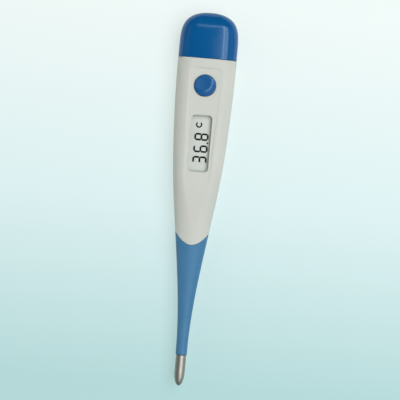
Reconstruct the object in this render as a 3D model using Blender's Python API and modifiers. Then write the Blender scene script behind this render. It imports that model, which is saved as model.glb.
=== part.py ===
# Digital clinical thermometer with a flexible probe.
# +X runs along the length towards the battery cover, +Z out of the display, and the flat back lies on z = 0.
# Stations along the length are millimetres from the end of the steel probe tip.

import math

import bmesh
import bpy
from mathutils import Matrix, Vector

MM = 0.001

# ---------------------------------------------------------------- driving dimensions, millimetres
LENGTH = 127.0
THICKNESS = 11.2
HALF_WIDE = 9.95
HALF_THICK = THICKNESS / 2.0
MID_Z = HALF_THICK

SEAM = 111.2                     # where the housing ends and the battery cover starts
COVER_ROUND = 111.0              # start of the cover's round end, seen from the front
COVER_NOSE = 117.0               # start of the cover's round end, seen from the side
PLAN_POWER, PLAN_ROOT = 5.0, 0.465  # shape of the rounded end seen from the front
WALL = 1.1
FIT_GAP = 0.15

# station, half-width
WIDTHS = ((10.5, 1.92), (15.0, 1.96), (20.0, 2.15), (30.0, 2.92), (40.0, 4.07), (50.0, 5.42), (60.0, 6.80),
          (70.0, 8.05), (80.0, 8.90), (90.0, 9.45), (100.0, 9.83), (108.0, HALF_WIDE), (127.0, HALF_WIDE))
# station, half-thickness
HEIGHTS = ((10.5, 1.90), (15.0, 1.95), (25.0, 2.20), (35.0, 2.60), (45.0, 3.20), (55.0, 4.05), (65.0, 5.20),
           (71.0, HALF_THICK), (127.0, HALF_THICK))
# station, half-width of the flat front and back
FLATS = ((10.5, 0.06), (50.0, 0.10), (58.0, 1.00), (66.0, 3.20), (72.0, 4.50), (80.0, 5.00), (127.0, 5.20))
SIDE_FLATS = ((10.5, 0.05), (50.0, 0.10), (72.0, 0.80), (127.0, 0.80))

TONGUE_MID = 47.7                # where the white housing meets the blue stem, on the centre line
TONGUE_RISE = 4.9                # how much further back it meets it at the sides
TONGUE_HALF = 5.9
SNOUT_END = 43.0
SNOUT_STEP = 1.15
STEM_WALL = 1.0
WIRE_BORE = 1.0
CAVITY_FRONT = 57.5

WINDOW = (72.9, 92.0, 3.4, 1.3)  # two stations, half-width, corner radius
LENS_TOP = 10.75
LENS_SHOULDER = 10.0
LENS_BACK = 9.55
PANEL_Z = 10.95
BUTTON_AT = 102.0
BUTTON_RADIUS = 3.62
BUTTON_HOLE = 3.80
BUTTON_FLANGE = 4.25
BUTTON_TOP = 11.75

BOARD = (77.0, 112.5, 5.7, 5.0, 5.8)   # stations, half-width, bottom and top
CELL_AT = 118.0
CELL_RADIUS = 3.95
CELL_BOTTOM = 3.8
CELL_TOP = 7.4

HINGES = (42.0, 37.5, 33.0, 28.5, 24.0, 19.5)
BALL_RATIO = 1.15
BALL_GAP = 0.3

TIP_RADIUS = 1.74
TIP_NOSE = 4.6
TIP_SKIN = 0.2
TIP_VISIBLE = 10.4
TIP_SHANK_RADIUS = 1.40
TIP_SHANK_END = 14.5

# ---------------------------------------------------------------- scene and collections
for old in list(bpy.data.objects):
    bpy.data.objects.remove(old, do_unlink=True)

PARTS = bpy.data.collections.new("digital_thermometer")
CUTTERS = bpy.data.collections.new("digital_thermometer_cutters")
bpy.context.scene.collection.children.link(PARTS)
bpy.context.scene.collection.children.link(CUTTERS)


def material(name, colour, roughness, metallic=0.0):
    mat = bpy.data.materials.new(name)
    mat.use_nodes = True
    shader = mat.node_tree.nodes["Principled BSDF"]
    shader.inputs["Base Color"].default_value = (*colour, 1.0)
    shader.inputs["Roughness"].default_value = roughness
    shader.inputs["Metallic"].default_value = metallic
    mat.diffuse_color = (*colour, 1.0)
    return mat


# ---------------------------------------------------------------- geometry helpers
def along(station):
    return station - LENGTH / 2.0


def at(table, station):
    """Smooth monotone reading of a table of (station, value)."""
    xs = [row[0] for row in table]
    ys = [row[1] for row in table]
    if station <= xs[0]:
        return ys[0]
    if station >= xs[-1]:
        return ys[-1]
    slopes = [(ys[i + 1] - ys[i]) / (xs[i + 1] - xs[i]) for i in range(len(xs) - 1)]
    tangents = [slopes[0]]
    for before, after in zip(slopes, slopes[1:]):
        steady = before * after > 0.0
        tangents.append(2.0 * before * after / (before + after) if steady else 0.0)
    tangents.append(slopes[-1])
    i = max(k for k in range(len(xs) - 1) if xs[k] <= station)
    step = xs[i + 1] - xs[i]
    t = (station - xs[i]) / step
    return ((2 * t ** 3 - 3 * t ** 2 + 1) * ys[i] + (t ** 3 - 2 * t ** 2 + t) * step * tangents[i]
            + (3 * t ** 2 - 2 * t ** 3) * ys[i + 1] + (t ** 3 - t ** 2) * step * tangents[i + 1])


def outline_sizes(station, inset):
    """Half-width, half-thickness and flats of the section, inset from the outer skin."""
    wide = at(WIDTHS, station) - inset
    thick = at(HEIGHTS, station) - inset
    flat = at(FLATS, station)
    side = at(SIDE_FLATS, station)
    if station > COVER_ROUND:
        u = (station - COVER_ROUND) / (LENGTH - inset - COVER_ROUND)
        shrink = max(1.0 - u ** PLAN_POWER, 0.0) ** PLAN_ROOT
        wide *= shrink
        flat *= shrink
    if station > COVER_NOSE:
        u = (station - COVER_NOSE) / (LENGTH - inset - COVER_NOSE)
        shrink = max(1.0 - u ** 2.5, 0.0) ** (1.0 / 2.2)
        thick *= shrink
        side *= shrink
    return wide, thick, flat, side


def section_point(station, index, arc, inset=0.0):
    """One point of the rounded section; a quadrant has arc + 1 points."""
    wide, thick, flat, side = outline_sizes(station, inset)
    quadrant, step = divmod(index, arc + 1)
    angle = (quadrant + step / arc) * math.pi / 2.0
    sign_y = 1.0 if quadrant in (0, 3) else -1.0
    sign_z = 1.0 if quadrant in (0, 1) else -1.0
    y = sign_y * flat + (wide - flat) * math.cos(angle)
    z = sign_z * side + (thick - side) * math.sin(angle)
    return y, z


def ring(station, arc, inset=0.0):
    """A section's ring of points; station is a number or a list with one for each point."""
    count = 4 * (arc + 1)
    stations = station if isinstance(station, list) else [station] * count
    points = []
    for i in range(count):
        y, z = section_point(stations[i], i, arc, inset)
        points.append((along(stations[i]), y, MID_Z + z))
    return points


def round_ring(station, arc, radius):
    count = 4 * (arc + 1)
    points = []
    for i in range(count):
        angle = (i + 0.5) * 2.0 * math.pi / count
        points.append((along(station), radius * math.cos(angle), MID_Z + radius * math.sin(angle)))
    return points


def tongue_stations(arc, shift=0.0):
    """Stations of the U-shaped line between housing and stem."""
    stations = []
    for i in range(4 * (arc + 1)):
        station = TONGUE_MID
        for _ in range(6):
            y, _z = section_point(station, i, arc)
            station = TONGUE_MID + TONGUE_RISE * (y / TONGUE_HALF) ** 2
        stations.append(station + shift)
    return stations


def ball_rim_stations(hinge, radius, arc):
    """Stations where a ball about a hinge meets the outer skin, on the side of the tip."""
    stations = []
    for i in range(4 * (arc + 1)):
        station = hinge
        for _ in range(12):
            y, z = section_point(station, i, arc)
            station = hinge - math.sqrt(radius ** 2 - y ** 2 - z ** 2)
        stations.append(station)
    return stations


def ball_rings(hinge, radius, arc, factors):
    """Rings on the ball, from its rim towards the wire bore."""
    rim = ring(ball_rim_stations(hinge, radius, arc), arc)
    rings = []
    for factor in factors:
        points = []
        for _x, y, z in rim:
            dy, dz = y * factor, (z - MID_Z) * factor
            x = along(hinge) - math.sqrt(radius ** 2 - dy ** 2 - dz ** 2)
            points.append((x, dy, MID_Z + dz))
        rings.append(points)
    return rings


def between(stations_a, stations_b, share):
    return [a + (b - a) * share for a, b in zip(stations_a, stations_b)]


def finish(ob, mat, origin=None, angle=38.0):
    """Give the object its material, its origin in millimetres and its shading."""
    if origin is not None:
        shift = Vector(origin) * MM
        ob.data.transform(Matrix.Translation(-shift))
        ob.location = shift
    ob.data.materials.clear()
    ob.data.materials.append(mat)
    ob.data.shade_smooth()
    ob.data.set_sharp_from_angle(angle=math.radians(angle))
    return ob


def object_of(name, bm, collection=None):
    bmesh.ops.recalc_face_normals(bm, faces=bm.faces)
    mesh = bpy.data.meshes.new(name)
    bm.to_mesh(mesh)
    bm.free()
    ob = bpy.data.objects.new(name, mesh)
    (collection or PARTS).objects.link(ob)
    if collection is CUTTERS:
        ob.hide_render = True
        ob.display_type = "WIRE"
    return ob


def loft(name, rings, closed=False):
    """Skin over a run of rings; closed joins the last ring to the first."""
    bm = bmesh.new()
    rows = [[bm.verts.new(Vector(point) * MM) for point in points] for points in rings]
    pairs = list(zip(rows, rows[1:]))
    if closed:
        pairs.append((rows[-1], rows[0]))
    else:
        bm.faces.new(rows[0])
        bm.faces.new(rows[-1])
    for a, b in pairs:
        for i in range(len(a)):
            j = (i + 1) % len(a)
            bm.faces.new((a[i], a[j], b[j], b[i]))
    return object_of(name, bm)


def box(name, stations, ys, zs, collection=None):
    bm = bmesh.new()
    bmesh.ops.create_cube(bm, size=1.0)
    size = Vector((stations[1] - stations[0], ys[1] - ys[0], zs[1] - zs[0])) * MM
    mid = Vector((along(sum(stations) / 2.0), sum(ys) / 2.0, sum(zs) / 2.0)) * MM
    bmesh.ops.scale(bm, vec=size, verts=bm.verts)
    bmesh.ops.translate(bm, vec=mid, verts=bm.verts)
    return object_of(name, bm, collection)


def drum(name, station, y, radius, zs, segments=32, collection=None):
    """Upright cylinder."""
    bm = bmesh.new()
    bmesh.ops.create_cone(bm, cap_ends=True, segments=segments, radius1=radius * MM, radius2=radius * MM,
                          depth=(zs[1] - zs[0]) * MM)
    bmesh.ops.translate(bm, vec=Vector((along(station), y, sum(zs) / 2.0)) * MM, verts=bm.verts)
    return object_of(name, bm, collection)


def turned(name, profile, steps, place, closed=False):
    """Screw a profile of (radius, height) about its own Z axis; place is the object's matrix."""
    count = len(profile)
    edges = [(i, i + 1) for i in range(count - 1)]
    if closed:
        edges.append((count - 1, 0))
    mesh = bpy.data.meshes.new(name)
    mesh.from_pydata([(r * MM, 0.0, z * MM) for r, z in profile], edges, [])
    ob = bpy.data.objects.new(name, mesh)
    PARTS.objects.link(ob)
    screw = ob.modifiers.new("Turn", "SCREW")
    screw.axis = "Z"
    screw.angle = 2.0 * math.pi
    screw.steps = steps
    screw.render_steps = steps
    screw.use_merge_vertices = True
    screw.merge_threshold = 0.000001
    screw.use_smooth_shade = True
    ob.matrix_world = place
    return ob


def plate(name, outline, low, high, axis="Z", collection=None):
    """Flat outline given a thickness along Z, or along X for an outline in (y, z)."""
    curve = bpy.data.curves.new(name + "_outline", "CURVE")
    curve.dimensions = "2D"
    curve.fill_mode = "BOTH"
    curve.extrude = (high - low) / 2.0 * MM
    spline = curve.splines.new("POLY")
    spline.points.add(len(outline) - 1)
    for point, (a, b) in zip(spline.points, outline):
        point.co = (a * MM, b * MM, 0.0, 1.0)
    spline.use_cyclic_u = True
    source = bpy.data.objects.new(name + "_outline", curve)
    PARTS.objects.link(source)
    bpy.context.view_layer.update()
    solid = bpy.data.meshes.new_from_object(source.evaluated_get(bpy.context.evaluated_depsgraph_get()))
    bpy.data.objects.remove(source, do_unlink=True)
    bm = bmesh.new()
    bm.from_mesh(solid)
    bmesh.ops.remove_doubles(bm, verts=bm.verts, dist=0.000001)
    shift = Matrix.Translation((0.0, 0.0, (low + high) / 2.0 * MM))
    turn = Matrix.Identity(4)
    if axis == "X":
        turn = Matrix(((0, 0, 1, 0), (1, 0, 0, 0), (0, 1, 0, 0), (0, 0, 0, 1)))
    bmesh.ops.transform(bm, matrix=turn @ shift, verts=bm.verts)
    return object_of(name, bm, collection)


def rounded(x_low, x_high, y_low, y_high, radius, steps=5):
    """Outline of a rectangle with round corners."""
    points = []
    corners = ((x_high, y_high, 0), (x_low, y_high, 1), (x_low, y_low, 2), (x_high, y_low, 3))
    for cx, cy, quadrant in corners:
        ax = cx - radius if cx == x_high else cx + radius
        ay = cy - radius if cy == y_high else cy + radius
        for k in range(steps + 1):
            angle = (quadrant + k / steps) * math.pi / 2.0
            points.append((ax + radius * math.cos(angle), ay + radius * math.sin(angle)))
    return points


def combine(ob, other, operation):
    mod = ob.modifiers.new(operation.title() + "_" + other.name, "BOOLEAN")
    mod.operation = operation
    mod.solver = "EXACT"
    mod.object = other
    return ob


def wire(name, points, radius):
    curve = bpy.data.curves.new(name, "CURVE")
    curve.dimensions = "3D"
    curve.bevel_depth = radius * MM
    curve.bevel_resolution = 2
    curve.use_fill_caps = True
    spline = curve.splines.new("POLY")
    spline.points.add(len(points) - 1)
    for point, (station, y, z) in zip(spline.points, points):
        point.co = (along(station) * MM, y * MM, z * MM, 1.0)
    ob = bpy.data.objects.new(name, curve)
    PARTS.objects.link(ob)
    return ob


def upright(station, y=0.0, z=0.0):
    return Matrix.Translation(Vector((along(station), y, z)) * MM)


# ---------------------------------------------------------------- materials
OFF_WHITE = material("housing_white_abs", (0.60, 0.61, 0.57), 0.38)
CLEAR = material("lens_clear", (0.62, 0.66, 0.62), 0.08)
BLUE = material("button_blue", (0.012, 0.075, 0.24), 0.30)
COVER_BLUE = material("cover_blue_gloss", (0.004, 0.070, 0.250), 0.16)
SOFT_BLUE = material("stem_blue_elastomer", (0.085, 0.205, 0.345), 0.55)
STEEL = material("probe_stainless", (0.66, 0.64, 0.59), 0.22, 1.0)
CHASSIS = material("chassis_grey_abs", (0.42, 0.43, 0.42), 0.50)
BOARD_GREEN = material("board_green", (0.02, 0.13, 0.06), 0.45)
GLASS = material("lcd_glass", (0.50, 0.55, 0.48), 0.10)
FILM = material("lcd_film", (0.44, 0.48, 0.40), 0.35)
SILVER_FILM = material("reflector_film", (0.60, 0.61, 0.58), 0.35, 0.6)
RUBBER_GREY = material("zebra_elastomer", (0.10, 0.10, 0.10), 0.65)
EPOXY = material("epoxy_black", (0.012, 0.012, 0.012), 0.40)
EPOXY_AMBER = material("epoxy_amber", (0.28, 0.15, 0.04), 0.25)
CERAMIC_TAN = material("capacitor_ceramic", (0.36, 0.24, 0.13), 0.45)
CERAMIC_WHITE = material("sounder_ceramic", (0.62, 0.60, 0.55), 0.50)
BLACK = material("black_plastic", (0.02, 0.02, 0.02), 0.45)
BRASS = material("brass", (0.56, 0.38, 0.14), 0.30, 1.0)
NICKEL = material("nickel_steel", (0.60, 0.59, 0.56), 0.28, 1.0)
SEAL = material("seal_silicone", (0.30, 0.31, 0.30), 0.60)
COPPER_ENAMEL = material("wire_enamel", (0.32, 0.10, 0.03), 0.35)

# ---------------------------------------------------------------- housing
ARC = 6
outer = [SEAM, 105.0, 98.0, 91.0, 84.0, 78.0, 72.0, 68.0, 64.0, 60.5]
tongue = tongue_stations(ARC)
back_of_tongue = [57.5] * len(tongue)
rings = [ring(s, ARC) for s in outer]
rings += [ring(back_of_tongue, ARC), ring(between(tongue, back_of_tongue, 0.5), ARC), ring(tongue, ARC)]
snout_end = [SNOUT_END] * len(tongue)
rings += [ring(tongue, ARC, SNOUT_STEP), ring(between(tongue, snout_end, 0.55), ARC, SNOUT_STEP),
          ring(snout_end, ARC, SNOUT_STEP)]
rings += [round_ring(SNOUT_END, ARC, WIRE_BORE), round_ring(CAVITY_FRONT, ARC, WIRE_BORE)]
rings += [ring(s, ARC, WALL) for s in [CAVITY_FRONT] + outer[::-1]]
housing = loft("housing", rings, closed=True)
finish(housing, OFF_WHITE)

window_cut = plate("cut_window", rounded(along(WINDOW[0]), along(WINDOW[1]), -WINDOW[2], WINDOW[2], WINDOW[3]),
                   8.0, 13.0, collection=CUTTERS)
button_cut = drum("cut_button_hole", BUTTON_AT, 0.0, BUTTON_HOLE, (8.0, 13.0), 40, CUTTERS)
panel_outline = ((along(58.0), 3.6), (along(58.0), -3.6), (along(78.0), -4.5), (along(92.0), -5.0),
                 (along(105.8), -5.6), (along(107.2), -5.1), (along(108.0), -4.0),
                 (along(108.0), 4.0), (along(107.2), 5.1), (along(105.8), 5.6), (along(92.0), 5.0),
                 (along(78.0), 4.5))
panel_cut = plate("cut_front_panel", panel_outline, PANEL_Z, 14.0, collection=CUTTERS)
for cutter in (panel_cut, window_cut, button_cut):
    combine(housing, cutter, "DIFFERENCE")

# ---------------------------------------------------------------- window lens, with a shoulder inside the wall
lens = plate("window_lens", rounded(along(WINDOW[0]) - 0.8, along(WINDOW[1]) + 0.8, -WINDOW[2] - 0.8,
                                    WINDOW[2] + 0.8, WINDOW[3] + 0.6), LENS_BACK, LENS_SHOULDER)
lens_face = plate("join_lens_face", rounded(along(WINDOW[0]) + FIT_GAP, along(WINDOW[1]) - FIT_GAP,
                                            -WINDOW[2] + FIT_GAP, WINDOW[2] - FIT_GAP, WINDOW[3] - FIT_GAP),
                  LENS_BACK + 0.1, LENS_TOP, collection=CUTTERS)
combine(lens, lens_face, "UNION")
finish(lens, CLEAR)

# ---------------------------------------------------------------- push button
profile = [(0.0, BUTTON_TOP - 9.5)]
for k in range(1, 6):
    angle = k / 5 * math.pi / 2.0
    drop = 0.30 * (k / 5) ** 2 + (0.22 * (1.0 - math.cos(angle)) if k > 3 else 0.0)
    profile.append((BUTTON_RADIUS * math.sin(angle * 0.98), BUTTON_TOP - 9.5 - drop))
profile += [(BUTTON_RADIUS, 1.2), (BUTTON_RADIUS, 0.5), (BUTTON_FLANGE, 0.5), (BUTTON_FLANGE, 0.0), (0.0, 0.0)]
button = turned("button", profile, 40, upright(BUTTON_AT, 0.0, 9.5))
finish(button, BLUE)

# ---------------------------------------------------------------- battery cover, a cup with a plug-in skirt
skirt_inset = WALL + FIT_GAP
skirt_inner = skirt_inset + 0.9
ends = [SEAM + 0.05, 114.0, 117.0, 119.5, 121.7, 123.4, 124.8, 125.8, 126.5, 126.85]
inner_ends = [113.0, 117.0, 119.5, 121.7, 123.3, 124.5, 125.3]
rings = [ring(s, ARC) for s in ends[::-1]]
rings += [ring(SEAM + 0.05, ARC, skirt_inset), ring(109.6, ARC, skirt_inset), ring(109.6, ARC, skirt_inset + 0.45),
          ring(108.4, ARC, skirt_inset + 0.45), ring(108.4, ARC, skirt_inset), ring(106.8, ARC, skirt_inset),
          ring(106.8, ARC, skirt_inner), ring(SEAM, ARC, skirt_inner)]
rings += [ring(s, ARC, WALL) for s in inner_ends]
apex = [(along(LENGTH), y * 0.55, MID_Z + (z - MID_Z) * 0.55) for _x, y, z in rings[0]]
cover = loft("battery_cover", [apex] + rings)
finish(cover, COVER_BLUE, origin=(along(SEAM), 0.0, MID_Z), angle=50.0)

seal_rings = []
for k in range(8):
    angle = k / 8 * 2.0 * math.pi
    seal_rings.append(ring(109.0 + 0.45 * math.cos(angle), ARC, WALL + 0.32 + 0.25 * math.sin(angle)))
seal = loft("cover_seal", seal_rings, closed=True)
finish(seal, SEAL, origin=(along(SEAM), 0.0, MID_Z))

# ---------------------------------------------------------------- chassis and battery bay
tray = [(-5.0, 1.6), (5.0, 1.6), (6.7, 3.1), (6.7, 6.4), (5.9, 6.4), (5.9, 4.85), (5.1, 4.85), (5.1, 3.0),
        (4.5, 2.4), (-4.5, 2.4), (-5.1, 3.0), (-5.1, 4.85), (-5.9, 4.85), (-5.9, 6.4), (-6.7, 6.4), (-6.7, 3.1)]
chassis = plate("chassis", tray, along(75.0), along(106.3), axis="X")
rail_a = box("join_rail_a", (106.0, 113.6), (5.9, 6.7), (3.2, 6.4), CUTTERS)
rail_b = box("join_rail_b", (106.0, 113.6), (-6.7, -5.9), (3.2, 6.4), CUTTERS)
bay = plate("join_battery_bay", rounded(along(112.9), along(122.2), -5.6, 5.6, 1.0, 3), 2.7, 8.4,
            collection=CUTTERS)
bay_ear = box("join_bay_ears", (112.9, 114.2), (-6.7, 6.7), (3.2, 6.4), CUTTERS)
for other in (rail_a, rail_b, bay, bay_ear):
    combine(chassis, other, "UNION")
cell_slot = [(along(123.5), -4.2), (along(123.5), 4.2)]
for k in range(13):
    angle = math.pi / 2.0 + k / 12 * math.pi
    cell_slot.append((along(CELL_AT) + 4.2 * math.cos(angle), 4.2 * math.sin(angle)))
combine(chassis, plate("cut_cell_slot", cell_slot[:2] + cell_slot[2:], 3.2, 8.0, collection=CUTTERS), "DIFFERENCE")
combine(chassis, box("cut_contact_slot", (112.0, 119.8), (-1.9, 1.9), (3.0, 9.0), CUTTERS), "DIFFERENCE")
combine(chassis, box("cut_bay_sill", (119.6, 123.5), (-2.6, 2.6), (2.0, 9.0), CUTTERS), "DIFFERENCE")
finish(chassis, CHASSIS, origin=(along(106.3), 0.0, MID_Z))

# ---------------------------------------------------------------- circuit board and what is soldered to it
board = plate("circuit_board", rounded(along(BOARD[0]), along(BOARD[1]), -BOARD[2], BOARD[2], 0.6, 2),
              BOARD[3], BOARD[4])
finish(board, BOARD_GREEN)

bm = bmesh.new()
bmesh.ops.create_uvsphere(bm, u_segments=20, v_segments=10, radius=MM)
bmesh.ops.bisect_plane(bm, geom=bm.verts[:] + bm.edges[:] + bm.faces[:], plane_co=(0, 0, 0), plane_no=(0, 0, 1),
                       clear_outer=True)
bmesh.ops.holes_fill(bm, edges=[edge for edge in bm.edges if edge.is_boundary])
bmesh.ops.scale(bm, vec=(3.4, 3.0, 1.5), verts=bm.verts)
bmesh.ops.translate(bm, vec=Vector((along(86.0), 0.0, 4.85)) * MM, verts=bm.verts)
finish(object_of("chip_epoxy", bm), EPOXY)


def chip(name, station, y, length, wide, zs, mat):
    ob = box(name, (station - length / 2, station + length / 2), (y - wide / 2, y + wide / 2), zs)
    return finish(ob, mat)


chip("capacitor_1", 97.2, 3.6, 1.6, 0.8, (5.92, 6.72), CERAMIC_TAN)
chip("capacitor_2", 97.2, 1.9, 1.6, 0.8, (5.92, 6.72), CERAMIC_TAN)
chip("reference_resistor", 97.2, -3.4, 2.0, 1.2, (5.92, 6.47), BLACK)

switch = box("switch_body", (99.5, 104.5), (-2.5, 2.5), (5.92, 8.5))
combine(switch, drum("cut_switch_well", BUTTON_AT, 0.0, 1.3, (7.2, 9.5), 24, CUTTERS), "DIFFERENCE")
finish(switch, BLACK)
plunger = drum("switch_plunger", BUTTON_AT, 0.0, 1.15, (7.75, 9.4), 24)
finish(plunger, CHASSIS, origin=(along(BUTTON_AT), 0.0, 9.4))

# ---------------------------------------------------------------- display stack
LCD_ENDS = (72.1, 93.3)


def glass(name, y_low, y_high, zs, mat, trim=0.0):
    ob = box(name, (LCD_ENDS[0] + trim, LCD_ENDS[1] - trim), (y_low, y_high), zs)
    return finish(ob, mat)


glass("lcd_reflector", -4.7, 2.8, (6.55, 6.70), SILVER_FILM, 0.1)
glass("lcd_rear_glass", -4.75, 2.9, (6.80, 7.50), GLASS)
glass("lcd_front_glass", -4.75, 4.75, (7.60, 8.25), GLASS)
glass("lcd_polariser", -4.0, 4.0, (8.35, 8.50), FILM, 0.8)
finish(box("zebra_strip", (73.5, 92.0), (3.3, 4.6), (5.92, 7.50)), RUBBER_GREY)
holder = box("lcd_holder", (71.3, 94.1), (-5.6, 5.6), (5.95, 8.9))
combine(holder, box("cut_holder_pocket", (71.9, 93.5), (-4.95, 4.95), (5.0, 8.6), CUTTERS), "DIFFERENCE")
combine(holder, box("cut_holder_view", (72.7, 92.7), (-4.15, 4.15), (8.0, 10.0), CUTTERS), "DIFFERENCE")
finish(holder, CHASSIS)

# ---------------------------------------------------------------- sounder under the board
disc = turned("sounder_plate", [(0.0, 0.2), (4.6, 0.2), (4.6, 0.0), (0.0, 0.0)], 36, upright(97.0, 0.0, 2.5))
finish(disc, BRASS)
ceramic = turned("sounder_ceramic", [(0.0, 0.2), (3.3, 0.2), (3.3, 0.0), (0.0, 0.0)], 32, upright(97.0, 0.0, 2.8))
finish(ceramic, CERAMIC_WHITE)


def coil(name, station, y, low, high):
    turns = 4
    points = []
    for k in range(turns * 12 + 1):
        angle = k / 12 * 2.0 * math.pi
        points.append((station + 0.55 * math.cos(angle), y + 0.55 * math.sin(angle),
                       low + 0.12 + (high - low - 0.24) * k / (turns * 12)))
    ob = wire(name, points, 0.11)
    ob.data.bevel_resolution = 1
    ob.data.materials.append(NICKEL)
    return ob


coil("sounder_spring_1", 97.0, 0.0, 3.08, 4.92)
coil("sounder_spring_2", 101.0, 0.0, 2.78, 4.92)

# ---------------------------------------------------------------- button cell
cell_place = upright(CELL_AT, 0.0, CELL_BOTTOM)
cell_can = turned("cell_can", [(0.0, 3.6), (3.75, 3.6), (3.95, 3.4), (3.95, 0.35), (3.75, 0.35), (3.75, 3.1),
                               (0.0, 3.1)], 40, cell_place)
finish(cell_can, NICKEL)
gasket = turned("cell_gasket", [(3.40, 2.6), (3.65, 2.6), (3.65, 0.3), (3.40, 0.3)], 40, cell_place, closed=True)
finish(gasket, BLACK)
cup = turned("cell_cup", [(0.0, 2.9), (3.3, 2.9), (3.3, 0.2), (3.1, 0.0), (0.0, 0.0)], 40, cell_place)
finish(cup, NICKEL)

# ---------------------------------------------------------------- battery contacts, bent strips
def strip(name, path, half_wide, thick):
    """A strip that follows a path of (station, z), bent from sheet of one thickness."""
    left, right = [], []
    for k, (s, z) in enumerate(path):
        ahead = path[min(k + 1, len(path) - 1)]
        behind = path[max(k - 1, 0)]
        dx, dz = ahead[0] - behind[0], ahead[1] - behind[1]
        size = math.hypot(dx, dz)
        nx, nz = -dz / size * thick / 2.0, dx / size * thick / 2.0
        left.append((along(s + nx), z + nz))
        right.append((along(s - nx), z - nz))
    ob = plate(name, left + right[::-1], -half_wide, half_wide)
    ob.data.transform(Matrix(((1, 0, 0, 0), (0, 0, -1, 0), (0, 1, 0, 0), (0, 0, 0, 1))))
    return finish(ob, BRASS)


strip("contact_positive", [(107.6, 6.02), (110.2, 6.02), (111.4, 6.5), (112.2, 7.4), (113.2, 7.72), (116.0, 7.72),
                           (119.0, 7.62)], 1.5, 0.2)
strip("contact_negative", [(107.6, 4.78), (110.2, 4.78), (111.4, 4.3), (112.2, 3.7), (113.2, 3.48), (116.0, 3.48),
                           (119.0, 3.58)], 1.5, 0.2)

# ---------------------------------------------------------------- flexible stem: a root and six links
def hinge_radius(hinge):
    return BALL_RATIO * at(WIDTHS, hinge)


stem_tongue = tongue_stations(ARC, -0.12)
rim = ball_rim_stations(HINGES[0], hinge_radius(HINGES[0]), ARC)
rings = [ring(stem_tongue, ARC), ring(between(stem_tongue, rim, 0.33), ARC),
         ring(between(stem_tongue, rim, 0.66), ARC)]
rings += ball_rings(HINGES[0], hinge_radius(HINGES[0]), ARC, (1.0, 0.75, 0.5))
bore_end = HINGES[0] - math.sqrt(hinge_radius(HINGES[0]) ** 2 - WIRE_BORE ** 2)
rings += [round_ring(bore_end, ARC, WIRE_BORE), round_ring(SNOUT_END - 0.15, ARC, WIRE_BORE)]
snout_seat = [SNOUT_END - 0.15] * len(stem_tongue)
rings += [ring(snout_seat, ARC, STEM_WALL), ring(between(stem_tongue, snout_seat, 0.45), ARC, STEM_WALL),
          ring(stem_tongue, ARC, STEM_WALL)]
root = loft("stem_root", rings, closed=True)
finish(root, SOFT_BLUE)

LINK_ARC = 4
for number, hinge in enumerate(HINGES, start=1):
    socket_radius = hinge_radius(hinge) + BALL_GAP
    back = ball_rim_stations(hinge, socket_radius, LINK_ARC)
    socket = ball_rings(hinge, socket_radius, LINK_ARC, (0.5, 0.75))
    bore_back = hinge - math.sqrt(socket_radius ** 2 - WIRE_BORE ** 2)
    if number < len(HINGES):
        ahead = HINGES[number]
        front = ball_rim_stations(ahead, hinge_radius(ahead), LINK_ARC)
        rings = [ring(back, LINK_ARC), ring(between(back, front, 0.5), LINK_ARC)]
        rings += ball_rings(ahead, hinge_radius(ahead), LINK_ARC, (1.0, 0.75, 0.5))
        bore_front = ahead - math.sqrt(hinge_radius(ahead) ** 2 - WIRE_BORE ** 2)
        rings += [round_ring(bore_front, LINK_ARC, WIRE_BORE)]
    else:
        rings = [ring(back, LINK_ARC), ring(14.0, LINK_ARC), ring(10.75, LINK_ARC), ring(10.55, LINK_ARC, 0.15),
                 round_ring(10.55, LINK_ARC, TIP_SHANK_RADIUS + 0.12),
                 round_ring(TIP_SHANK_END + 0.2, LINK_ARC, TIP_SHANK_RADIUS + 0.12),
                 round_ring(TIP_SHANK_END + 0.2, LINK_ARC, WIRE_BORE)]
    rings += [round_ring(bore_back, LINK_ARC, WIRE_BORE)] + socket
    link = loft("stem_link_" + str(number), rings, closed=True)
    finish(link, SOFT_BLUE, origin=(along(hinge), 0.0, MID_Z))

# ---------------------------------------------------------------- steel probe tip with its sensor
profile = []
for k in range(7):
    angle = k / 6 * math.pi / 2.0
    profile.append((TIP_RADIUS * math.sin(angle), -TIP_NOSE * (1.0 - math.cos(angle))))
inner = [(TIP_SHANK_RADIUS - TIP_SKIN, -TIP_SHANK_END), (TIP_SHANK_RADIUS - TIP_SKIN, -TIP_VISIBLE - 0.2),
         (TIP_RADIUS - TIP_SKIN, -TIP_VISIBLE + 0.3)]
for k in range(6, -1, -2):
    angle = k / 6 * math.pi / 2.0
    inner.append(((TIP_RADIUS - TIP_SKIN) * math.sin(angle), -0.3 - (TIP_NOSE - 0.3) * (1.0 - math.cos(angle))))
profile += [(TIP_RADIUS, -TIP_VISIBLE), (TIP_SHANK_RADIUS, -TIP_VISIBLE - 0.1), (TIP_SHANK_RADIUS, -TIP_SHANK_END)]
turn_to_x = Matrix(((0, 0, -1, 0), (0, 1, 0, 0), (1, 0, 0, 0), (0, 0, 0, 1)))
tip_place = Matrix.Translation(Vector((along(0.0), 0.0, MID_Z)) * MM) @ turn_to_x
tip = turned("probe_tip", profile + inner, 32, tip_place)
finish(tip, STEEL)

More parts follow.
